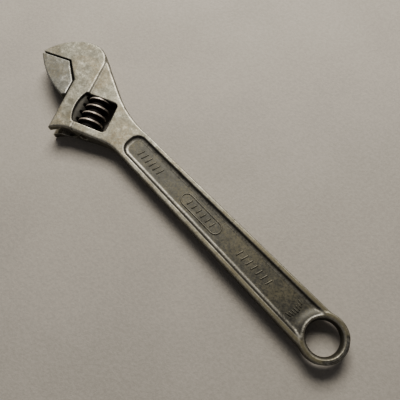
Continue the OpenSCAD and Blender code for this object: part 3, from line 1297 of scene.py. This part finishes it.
        # Painted shade: the wall of the ring's hole is darkened all round.
        bore = ease(np.hypot(x, y), self.mouth_radius - 0.3, self.hole_radius + 0.1)
        coats[Coat.CREASE] = np.maximum(coats[Coat.CREASE], np.maximum(wall_dirt_and_shade, band))
        coats[Coat.EDGE] *= 1.0 - 0.4 * ease(x, self.recess_end + 5.0, self.recess_end - 25.0)
        coats[Coat.HOLLOW] = np.maximum(coats[Coat.HOLLOW], bore)
        # The recess floor takes the sunk colour as its own; faces that stand on edge take it as painted
        # shade.
        coats[Coat.FLOOR] = np.maximum(deep, 0.9 * ease(lean, 0.75, 0.35))
        coats[Coat.OLD] = 0.9 * ease(x, self.recess_end - 10.0, 15.0)
        return coats

    def make(self) -> bpy.types.Object:
        """Builds the body and its finish.

        Returns:
            The piece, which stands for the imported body.
        """
        low, high = (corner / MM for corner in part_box("handle_body"))
        net = Net((
            graded([(low.x - 1.1, 0.5), (17.0, 0.75), (141.0, 0.5), (163.0, 0.6), (178.0, 0.48)],
                   high.x + 1.1),
            graded([(low.y - 1.1, 0.48)], high.y + 1.1),
            graded([(low.z - 0.9, 0.45)], high.z + 0.9),
        ))
        skin = net.skin(self.distance)
        piece = build("handle_body_worn", skin.points, skin.faces, self._coats(skin), skin.normals)
        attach(piece, "wrench")
        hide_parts("handle_body")
        dress(piece, BODY_STEEL)
        return piece


@dataclass(frozen=True)
class BarRow:
    """A row of alike bars across the handle.

    Attributes:
        start: Place of the first bar along the handle.
        end: Place of the last bar.
        count: Number of bars.
        half: Half the length of a bar.
        lean: How far each end of a bar is moved along the handle.
    """

    start: float
    end: float
    count: int
    half: float
    lean: float


@dataclass
class HandleMarks:
    """Plain raised bars on the floor of the upper recess. They spell nothing."""

    level: float = 2.2
    bead: float = 0.55
    proud: float = 0.42
    sides: int = 8
    rows: tuple[BarRow, ...] = (
        BarRow(start=127.5, end=144.5, count=6, half=2.1, lean=0.5),
        BarRow(start=83.0, end=101.5, count=6, half=1.5, lean=0.3),
        BarRow(start=39.0, end=61.0, count=7, half=1.9, lean=0.5),
    )
    oval: tuple[float, float, float] = (77.0, 107.5, 3.6)
    nick_ends: Span = (17.8, 20.4)
    nick_reach: float = 4.4
    nick_count: int = 7
    nick_bend: float = 0.07
    nick_bead: float = 0.38
    points: list[np.ndarray] = field(default_factory=list)
    faces: list[tuple[int, ...]] = field(default_factory=list)

    def _rod(self, path: list[Point], closed: bool = False, bead: float | None = None) -> None:
        """Adds one rounded rod that follows a path.

        Args:
            path: Its middle line.
            closed: Whether the end joins the start.
            bead: Radius of the rod, or None for the usual one.
        """
        line = np.array(path)
        radius = self.bead if bead is None else bead
        ahead = np.roll(line, -1, 0) - line
        behind = line - np.roll(line, 1, 0)
        if not closed:
            ahead[-1], behind[0] = behind[-1], ahead[0]
        along = (ahead / np.linalg.norm(ahead, axis=1)[:, None]
                 + behind / np.linalg.norm(behind, axis=1)[:, None])
        along /= np.linalg.norm(along, axis=1)[:, None]
        rings = [(place, way, radius) for place, way in zip(line, along)]
        if not closed:
            for turn in (0.6, 1.2):
                drop, size = radius * math.sin(turn), radius * math.cos(turn)
                rings.insert(0, (line[0] - along[0] * drop, along[0], size))
                rings.append((line[-1] + along[-1] * drop, along[-1], size))
        first, n = sum(len(part) for part in self.points), self.sides
        turns = np.linspace(0.0, 2.0 * math.pi, n, endpoint=False)
        height = self.level + self.proud - radius
        for place, way, size in rings:
            self.points.append(np.stack([place[0] + way[1] * size * np.cos(turns),
                                         place[1] - way[0] * size * np.cos(turns),
                                         height + size * np.sin(turns)], 1))
        last = len(rings) if closed else len(rings) - 1
        for i in range(last):
            here, there = first + n * i, first + n * ((i + 1) % len(rings))
            self.faces += [(here + j, here + (j + 1) % n, there + (j + 1) % n, there + j)
                           for j in range(n)]
        if not closed:
            self.faces.append(tuple(first + j for j in reversed(range(n))))
            self.faces.append(tuple(first + n * last + j for j in range(n)))

    def _oval(self, start: float, end: float, half: float) -> list[Point]:
        """A long rounded outline between two places along the handle."""
        return [*arc((end - half, 0.0), half, -90.0, 90.0, 10),
                *arc((start + half, 0.0), half, 90.0, 270.0, 10)]

    def make(self) -> bpy.types.Object:
        """Builds the marks and their finish.

        Returns:
            The marks as one piece.
        """
        for row in self.rows:
            for x in np.linspace(row.start, row.end, row.count):
                self._rod([(x - row.lean, -row.half), (x + row.lean, row.half)])
        self._rod(self._oval(*self.oval), closed=True)
        for y in np.linspace(-self.nick_reach, self.nick_reach, self.nick_count):
            bend = self.nick_bend * y * y
            first, last = self.nick_ends
            self._rod([(first + bend, y), (last + bend, y * 1.1)], bead=self.nick_bead)
        count = sum(len(part) for part in self.points)
        levels = {Coat.EDGE: 0.14, Coat.CREASE: 0.0, Coat.HOLLOW: 0.1, Coat.FLOOR: 0.75, Coat.OLD: 0.6}
        coats = {coat: np.full(count, level) for coat, level in levels.items()}
        piece = build("handle_marks", np.concatenate(self.points), self.faces, coats)
        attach(piece, "wrench")
        dress(piece, BODY_STEEL)
        return piece


# ---- sliding jaw ----------------------------------------------------------


@dataclass
class SlidingJaw:
    """The sliding jaw: jaw head, neck, round rail and rack."""

    sizes: Sizes
    head: HeadFrame
    rest_gap: float = 1.0
    front_gap: float = 0.2
    height: float = 24.4
    curve_radius: float = 56.0
    rack_tip: float = 14.4
    rack_clearance: float = 0.2
    root_clearance: float = 0.4
    nose_blunt: float = 0.2
    lead_depth: float = 0.4
    root_trim: float = 0.3
    face_soft: float = 0.5
    tail_soft: float = 0.5
    neck_soft: float = 0.2
    neck_stop: float = 2.4
    rail_soft: float = 0.6
    rack_soft: float = 0.4
    groove_soft: float = 0.3
    neck_join: float = 0.12
    half: float = field(init=False)
    plan: Outline = field(init=False)
    tie: Outline = field(init=False)

    def __post_init__(self) -> None:
        """Works out the outlines."""
        self.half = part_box("sliding_jaw")[1].z / MM
        self.plan = self._plan()
        top, low = self.sizes.rail_top, self.height - 4.0
        self.tie = Outline([(-1.0, top), (self._slant(top) + 1.5, top), (4.0, low), (-1.0, low)])

    def _slant(self, v: float, gap: float = 0.0) -> float:
        """Where the slanted throat lies.

        Args:
            v: Level along the travel.
            gap: How far the throat is moved out.

        Returns:
            The place out of the front face.
        """
        s = self.sizes
        long = math.hypot(s.throat_reach, s.throat_drop)
        return (s.throat_reach * (s.throat_drop - v) + gap * long) / s.throat_drop

    def _plan(self) -> Outline:
        """Outline of the jaw head in the head frame.

        Returns:
            Jaw face, nose, outer curve, tail and slanted back.
        """
        s = self.sizes
        gap = self.rest_gap
        long = math.hypot(s.throat_reach, s.throat_drop)
        toe = s.throat_drop + (gap * long - self.front_gap * s.throat_drop) / s.throat_reach
        heel = Vector((3.0, self.height))
        nose = Vector((s.tip - self.nose_blunt, gap + 0.9))
        chord = nose - heel
        across = Vector((-chord.y, chord.x)).normalized()
        depth = math.sqrt(self.curve_radius ** 2 - chord.length_squared / 4.0)
        centre = (nose + heel) / 2.0 - across * depth
        first, last = nose - centre, heel - centre
        start = math.degrees(math.atan2(first.y, first.x))
        end = math.degrees(math.atan2(last.y, last.x))
        return Outline([
            (self._slant(gap, gap), gap), (s.tip - 0.6, gap),
            *arc((centre.x, centre.y), self.curve_radius, start, end, 16),
            (self.front_gap, self.height - 1.2), (self.front_gap, toe),
        ])

    def rack(self, u: np.ndarray, v: np.ndarray, z: np.ndarray) -> np.ndarray:
        """Distance to the grooves that the worm thread runs in.

        Args:
            u: Place out of the front face.
            v: Place along the travel.
            z: Height.

        Returns:
            Distances, negative inside a groove.
        """
        s = self.sizes
        lead = math.atan(s.pitch / (2.0 * math.pi * (s.worm_radius - self.lead_depth)))
        shift = v - s.mesh_level + z * math.tan(lead)
        fold = np.abs(shift - s.pitch * np.round(shift / s.pitch))
        reach = u + s.worm_setback
        rise = (s.root - self.root_trim - s.crest) / 2.0 / (s.worm_radius - s.root_radius)
        half = s.crest / 2.0 + self.rack_clearance + rise * (s.worm_radius + self.rack_clearance - reach)
        flank = (fold - half) / math.hypot(1.0, rise)
        return overlap(flank, reach - s.worm_radius - self.root_clearance, self.groove_soft)

    def distance(self, u: np.ndarray, v: np.ndarray, z: np.ndarray) -> np.ndarray:
        """Distance to the whole jaw, in the head frame at rest.

        Args:
            u: Places out of the front face.
            v: Places along the travel.
            z: Heights.

        Returns:
            Distances, negative inside the steel.
        """
        s = self.sizes
        up = np.abs(z)
        soft = self.face_soft + self.tail_soft * ease(v, 1.5, 5.0)
        jaw = overlap(self.plan.distance(u, v), up - self.half, soft)
        neck = np.maximum(np.abs(u + s.rail_setback / 2.0 - 1.5) - s.rail_setback / 2.0 - 1.5,
                          np.maximum(s.rail_top - v, v - self.height + self.neck_stop))
        neck = np.minimum(neck, self.tie.distance(u, v))
        neck = overlap(neck, up - s.neck_thickness / 2.0, self.neck_soft)
        rail = overlap(np.hypot(u + s.rail_setback, z) - s.rail_radius,
                       np.maximum(s.rail_top - v, v - s.rail_top - s.rail_length), self.rail_soft)
        rail = overlap(rail, -self.rack_tip - u, self.rack_soft)
        rail = carve(rail, self.rack(u, v, z), self.groove_soft)
        return merge(jaw, np.minimum(neck, rail), self.neck_join)

    def _coats(self, skin: Skin) -> Coats:
        """Reads the wear, then darkens the rail, the rack and the side faces with painted shade.

        Args:
            skin: The surface in the head frame.

        Returns:
            All the coats.
        """
        coats = wear(self.distance, skin)
        u = skin.points[:, 0]
        # Painted shade: faces on edge, and the rail and the rack behind the front face, get the dark
        # sunk colour and more grime.
        side = ease(np.abs(skin.normals[:, 2]), 0.75, 0.35)
        coats[Coat.EDGE] *= ease(u, -1.5, 0.5)
        coats[Coat.HOLLOW] = np.maximum(coats[Coat.HOLLOW], 0.45 * ease(u, 0.0, -4.0))
        coats[Coat.FLOOR] = 0.9 * np.maximum(ease(u, 0.4, -0.4), side)
        coats[Coat.OLD] = np.zeros(len(u))
        return coats

    def make(self) -> bpy.types.Object:
        """Builds the jaw and its finish.

        Returns:
            The piece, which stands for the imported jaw.
        """
        s = self.sizes
        net = Net((
            graded([(-self.rack_tip - 1.0, 0.42)], s.tip + 1.0),
            graded([(-0.6, 0.42)], s.rail_top + s.rail_length + 1.0),
            graded([(-self.half - 0.9, 0.42)], self.half + 0.9),
        ))
        skin = net.skin(self.distance)
        u, v, z = skin.points.T
        x, y = self.head.outward(u, v)
        nx, ny = self.head.outward(skin.normals[:, 0], skin.normals[:, 1])
        normals = np.stack([nx - self.head.x, ny - self.head.y, skin.normals[:, 2]], 1)
        piece = build("sliding_jaw_worn", np.stack([x, y, z], 1), skin.faces, self._coats(skin), normals)
        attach(piece, "jaw")
        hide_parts("sliding_jaw")
        dress(piece, JAW_STEEL)
        return piece


# ---- worm, pin and spring -------------------------------------------------


@dataclass
class AdjustingWorm:
    """The thumb-turned worm with its single thread."""

    sizes: Sizes
    head: HeadFrame
    around: int = 132
    along: int = 168
    bore: float = 2.0
    pocket: float = 3.4
    pocket_depth: float = 9.5
    end_chamfer: float = 0.55
    groove_extra: float = 0.4
    pocket_lead: float = 0.4
    bore_lead: float = 0.3
    rounding: float = 0.5
    sharp_angle: float = 52.0

    def radius(self, turn: np.ndarray, v: np.ndarray) -> np.ndarray:
        """Outer radius of the worm.

        Args:
            turn: Angle about the worm's axis in radians, 0 towards the rack.
            v: Level along the axis.

        Returns:
            Radii in millimetres.
        """
        s = self.sizes
        shift = v - s.mesh_level - s.pitch * turn / (2.0 * math.pi)
        fold = np.abs(shift - s.pitch * np.round(shift / s.pitch))
        drop = (s.worm_radius - s.root_radius + self.groove_extra) / ((s.root - s.crest) / 2.0)
        flank = s.worm_radius - (fold - s.crest / 2.0) * drop
        ridge = merge(flank, np.full_like(flank, s.worm_radius), self.rounding)
        tooth = overlap(ridge, np.full_like(ridge, s.root_radius), self.rounding)
        end = np.minimum(v - s.worm_start, s.worm_start + s.worm_length - v)
        return np.minimum(tooth, s.worm_radius - self.end_chamfer + end)

    def make(self) -> bpy.types.Object:
        """Builds the worm and its finish.

        Returns:
            The piece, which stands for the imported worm.
        """
        s = self.sizes
        turns = np.linspace(0.0, 2.0 * math.pi, self.around, endpoint=False)
        low, high = s.worm_start, s.worm_start + s.worm_length
        rings = [(self.radius(turns, np.full_like(turns, v)), v)
                 for v in np.linspace(low, high, self.along)]
        shelf = high - self.pocket_depth
        for radius, v in ((self.pocket + self.pocket_lead, high), (self.pocket, high - self.pocket_lead),
                          (self.pocket, shelf), (self.bore, shelf),
                          (self.bore, low + self.bore_lead), (self.bore + self.bore_lead, low)):
            rings.append((np.full_like(turns, radius), v))
        points = []
        for radius, v in rings:
            x, y = self.head.outward(radius * np.cos(turns) - s.worm_setback, np.full_like(turns, v))
            points.append(np.stack([x, y, -radius * np.sin(turns)], 1))
        points = np.concatenate(points)
        n, count = self.around, len(rings)
        faces = []
        for i in range(count):
            here, there = n * i, n * ((i + 1) % count)
            faces += [(here + j, here + (j + 1) % n, there + (j + 1) % n, there + j) for j in range(n)]
        radii = np.concatenate([radius for radius, _ in rings])
        outer = np.arange(len(radii)) < n * self.along
        # Painted shade: the thread's grooves and the bore and pocket inside are darkened with the dirt
        # colour.
        coats = {
            Coat.EDGE: np.where(outer, ease(radii, s.worm_radius - 0.16, s.worm_radius - 0.02), 0.0),
            Coat.CREASE: np.where(outer, ease(radii, s.root_radius + 0.9, s.root_radius), 0.4),
            Coat.HOLLOW: np.where(outer, 0.6 * ease(radii, s.worm_radius - 0.3, s.root_radius), 0.8),
            Coat.FLOOR: np.zeros(len(radii)),
            Coat.OLD: np.zeros(len(radii)),
        }
        piece = build("adjusting_worm_worn", points, faces, coats)
        piece.data.set_sharp_from_angle(angle=math.radians(self.sharp_angle))
        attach(piece, "worm")
        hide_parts("adjusting_worm")
        dress(piece, WORM_STEEL)
        return piece


@dataclass
class PinAndSpring:
    """The worm pin and the spring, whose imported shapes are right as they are."""

    def make(self) -> list[bpy.types.Object]:
        """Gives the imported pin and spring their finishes.

        Returns:
            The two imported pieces.
        """
        pin, spring = frame["nodes"]["worm_pin"], frame["nodes"]["tension_spring"]
        dress(pin, PIN_STEEL)
        dress(spring, SPRING_STEEL)
        return [pin, spring]


# ---- studio ---------------------------------------------------------------


@dataclass(frozen=True)
class Studio:
    """Pale floor, one large soft light, a weak fill and the camera."""

    light_from: tuple[float, float, float] = (0.300, -0.337, 0.56)
    light_size: float = 0.34
    light_power: float = 5.5
    light_stretch: float = 1.3
    light_colour: Colour = (1.0, 0.965, 0.915)
    sky_colour: Colour = (0.97, 0.95, 1.0)
    fill: float = 0.05
    horizon: float = 0.42
    horizon_band: Span = (0.1, 0.65)
    eye: tuple[float, float, float] = (31.13, 44.57, 245.6)
    looks_along: tuple[float, float, float] = (0.26189, -0.19294, -0.94561)
    upright: tuple[float, float, float] = (0.68420, -0.65390, 0.32291)
    lens: float = 40.5
    sensor: float = 36.0
    floor_reach: float = 2500.0
    look: str = "AgX - Medium High Contrast"

    def make(self) -> None:
        """Builds the floor, the lights and the camera."""
        self._floor()
        self._sky()
        self._lamp()
        self._camera()
        bpy.context.scene.view_settings.look = self.look

    def _floor(self) -> None:
        """Lays the floor under the lowest face of the head."""
        level = CAD_BOX[0].z / MM
        far = self.floor_reach
        corners = [(x * far, y * far, level) for x, y in ((-1, -1), (1, -1), (1, 1), (-1, 1))]
        floor = build("floor", np.array(corners), [(0, 1, 2, 3)])
        floor.data.materials.append(StudioFloor().material())

    def _sky(self) -> None:
        """Makes the weak fill, which is brighter near the horizon."""
        world = bpy.data.worlds.new("studio")
        world.use_nodes = True
        nodes, links = world.node_tree.nodes, world.node_tree.links
        sky = nodes["Background"]
        sky.inputs[0].default_value = (*self.sky_colour, 1.0)
        height = nodes.new("ShaderNodeSeparateXYZ")
        links.new(nodes.new("ShaderNodeTexCoord").outputs["Generated"], height.inputs[0])
        band = nodes.new("ShaderNodeMapRange")
        band.interpolation_type = "SMOOTHSTEP"
        links.new(height.outputs[2], band.inputs["Value"])
        for key, number in zip(RANGE, (*self.horizon_band, self.horizon, self.fill)):
            band.inputs[key].default_value = number
        links.new(band.outputs["Result"], sky.inputs[1])
        bpy.context.scene.world = world

    def _lamp(self) -> None:
        """Hangs the large soft light."""
        lamp = bpy.data.lights.new("window", "AREA")
        lamp.shape = "RECTANGLE"
        lamp.size = self.light_size * self.light_stretch
        lamp.size_y = self.light_size
        lamp.energy = self.light_power
        lamp.color = self.light_colour
        hung = bpy.data.objects.new("window", lamp)
        hung.location = (CAD_BOX[0] + CAD_BOX[1]) / 2.0 + Vector(self.light_from)
        hung.rotation_euler = Vector(self.light_from).to_track_quat("Z", "Y").to_euler()
        bpy.context.scene.collection.objects.link(hung)

    def _camera(self) -> None:
        """Places the camera."""
        data = bpy.data.cameras.new("camera")
        data.lens = self.lens
        data.sensor_width = self.sensor
        data.clip_start = 0.01
        camera = bpy.data.objects.new("camera", data)
        back = -Vector(self.looks_along).normalized()
        right = Vector(self.upright).cross(back).normalized()
        turn = Matrix((right, back.cross(right), back)).transposed().to_4x4()
        camera.matrix_world = Matrix.Translation(Vector(self.eye) * MM) @ turn
        bpy.context.scene.collection.objects.link(camera)
        bpy.context.scene.camera = camera


def main() -> None:
    """Builds the wrench piece by piece."""
    logging.basicConfig(level=logging.INFO, format="%(name)s: %(message)s")
    sizes = Sizes()
    head = head_frame(sizes)
    Studio().make()
    pieces = [HandleBody(sizes, head).make(), HandleMarks().make(), SlidingJaw(sizes, head).make(),
              AdjustingWorm(sizes, head).make(), *PinAndSpring().make()]
    for piece in pieces:
        LOG.info("%s has %d faces", piece.name, len(piece.data.polygons))


if __name__ == "__main__":
    main()
